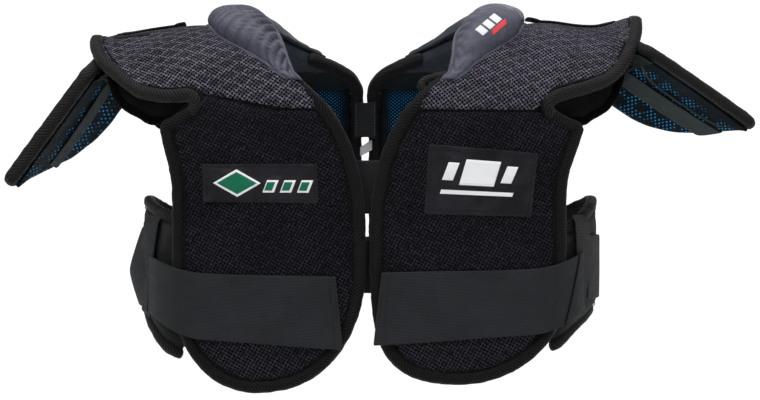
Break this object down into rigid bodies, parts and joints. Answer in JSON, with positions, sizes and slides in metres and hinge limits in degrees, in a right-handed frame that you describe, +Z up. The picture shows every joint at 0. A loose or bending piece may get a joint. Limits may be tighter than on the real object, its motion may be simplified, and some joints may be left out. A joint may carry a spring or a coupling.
{
  "type": "hockey shoulder pads",
  "caption": "Soft hockey shoulder pads: two mesh chest and back halves, padded shoulder flaps, neck rolls, hanging upper-arm wings, side wraps and wide belly elastics.",
  "frame": {"origin": "on the wearer's shoulders, midway between the two halves and midway between front and back", "axes": "+Z up, front of the chest faces -Y, +X to the right of a viewer who faces the chest"},
  "size_m": [0.774, 0.2418, 0.3959],
  "materials": {
    "mesh_shell": "knitted air mesh, near black",
    "edge_binding": "ribbed bias tape, warm charcoal",
    "satin_roll": "woven satin, slate blue-grey",
    "dotted_lining": "dark teal lining with small azure dots",
    "elastic_web": "ribbed knitted elastic, charcoal",
    "hook_tape": "hook tape, black",
    "loop_pile": "brushed loop pile, black",
    "badge_satin": "embroidered satin badge, black",
    "label_cloth": "woven label, white",
    "foam_pad": "foam block in knit cover",
    "cup_plastic": "moulded, matt"
  },
  "bodies": {
    "left_half": {"left_chest_panel": "mesh_shell", "left_chest_lining": "dotted_lining", "left_chest_binding": "edge_binding", "left_shoulder_flap": "mesh_shell", "left_flap_binding": "edge_binding", "left_collar_lining": "dotted_lining", "left_shoulder_cup": "cup_plastic", "left_inner_cap": "mesh_shell", "left_inner_cap_binding": "edge_binding", "left_arch_pad": "foam_pad", "left_neck_roll": "satin_roll", "left_back_panel": "mesh_shell", "left_back_lining": "dotted_lining", "left_back_binding": "edge_binding", "left_badge": "badge_satin", "left_loop_patch": "loop_pile", "left_tab_patch": "hook_tape", "front_bridges": "elastic_web", "back_bridges": "elastic_web"},
    "right_half": {"right_chest_panel": "mesh_shell", "right_chest_lining": "dotted_lining", "right_chest_binding": "edge_binding", "right_shoulder_flap": "mesh_shell", "right_flap_binding": "edge_binding", "right_collar_lining": "dotted_lining", "right_shoulder_cup": "cup_plastic", "right_inner_cap": "mesh_shell", "right_inner_cap_binding": "edge_binding", "right_arch_pad": "foam_pad", "right_neck_roll": "satin_roll", "right_back_panel": "mesh_shell", "right_back_lining": "dotted_lining", "right_back_binding": "edge_binding", "right_badge": "badge_satin", "right_loop_patch": "loop_pile", "right_tab_patch": "hook_tape", "care_label": "label_cloth"},
    "left_wing": {"left_wing_pad": "mesh_shell", "left_wing_lining": "dotted_lining", "left_wing_binding": "edge_binding", "left_wing_elastic": "elastic_web"},
    "left_tab": {"left_shoulder_tab": "elastic_web"},
    "left_wrap": {"left_side_panel": "mesh_shell", "left_side_binding": "edge_binding", "left_strap_keeper": "elastic_web", "left_side_strap": "elastic_web"},
    "left_belly": {"left_belly_strap": "elastic_web", "left_hook_patch": "hook_tape"},
    "right_wing": {"right_wing_pad": "mesh_shell", "right_wing_lining": "dotted_lining", "right_wing_binding": "edge_binding", "right_wing_elastic": "elastic_web"},
    "right_tab": {"right_shoulder_tab": "elastic_web"},
    "right_wrap": {"right_side_panel": "mesh_shell", "right_side_binding": "edge_binding", "right_strap_keeper": "elastic_web", "right_side_strap": "elastic_web"},
    "right_belly": {"right_belly_strap": "elastic_web", "right_hook_patch": "hook_tape"}
  },
  "joints": [
    {"name": "half_spread", "type": "slide", "parent": "left_half", "child": "right_half", "axis": [1, 0, 0], "range_m": [0, 0.025], "stiffness_N_per_m": 600, "deforming": ["front_bridges", "back_bridges"]},
    {"name": "left_wing_lift", "type": "hinge", "parent": "left_half", "child": "left_wing", "pos_m": [-0.279, 0, -0.006], "axis": [0, 1, 0], "range_deg": [-5, 22], "stiffness_Nm_per_rad": 0.6},
    {"name": "left_tab_peel", "type": "hinge", "parent": "left_half", "child": "left_tab", "pos_m": [-0.262, 0, 0.028], "axis": [0, -1, 0], "range_deg": [0, 55]},
    {"name": "left_wrap_swing", "type": "hinge", "parent": "left_half", "child": "left_wrap", "pos_m": [-0.186, 0.08, -0.224], "axis": [0, 0, -1], "range_deg": [0, 45]},
    {"name": "left_belly_peel", "type": "hinge", "parent": "left_wrap", "child": "left_belly", "pos_m": [-0.2195, -0.06, -0.231], "axis": [0, 0, -1], "range_deg": [0, 100]},
    {"name": "right_wing_lift", "type": "hinge", "parent": "right_half", "child": "right_wing", "pos_m": [0.279, 0, 0.016], "axis": [0, -1, 0], "range_deg": [-13, 8], "stiffness_Nm_per_rad": 0.6},
    {"name": "right_tab_peel", "type": "hinge", "parent": "right_half", "child": "right_tab", "pos_m": [0.262, 0, 0.041], "axis": [0, 1, 0], "range_deg": [0, 55]},
    {"name": "right_wrap_swing", "type": "hinge", "parent": "right_half", "child": "right_wrap", "pos_m": [0.186, 0.08, -0.224], "axis": [0, 0, 1], "range_deg": [0, 45]},
    {"name": "right_belly_peel", "type": "hinge", "parent": "right_wrap", "child": "right_belly", "pos_m": [0.2255, -0.06, -0.231], "axis": [0, 0, 1], "range_deg": [0, 100]}
  ]
}
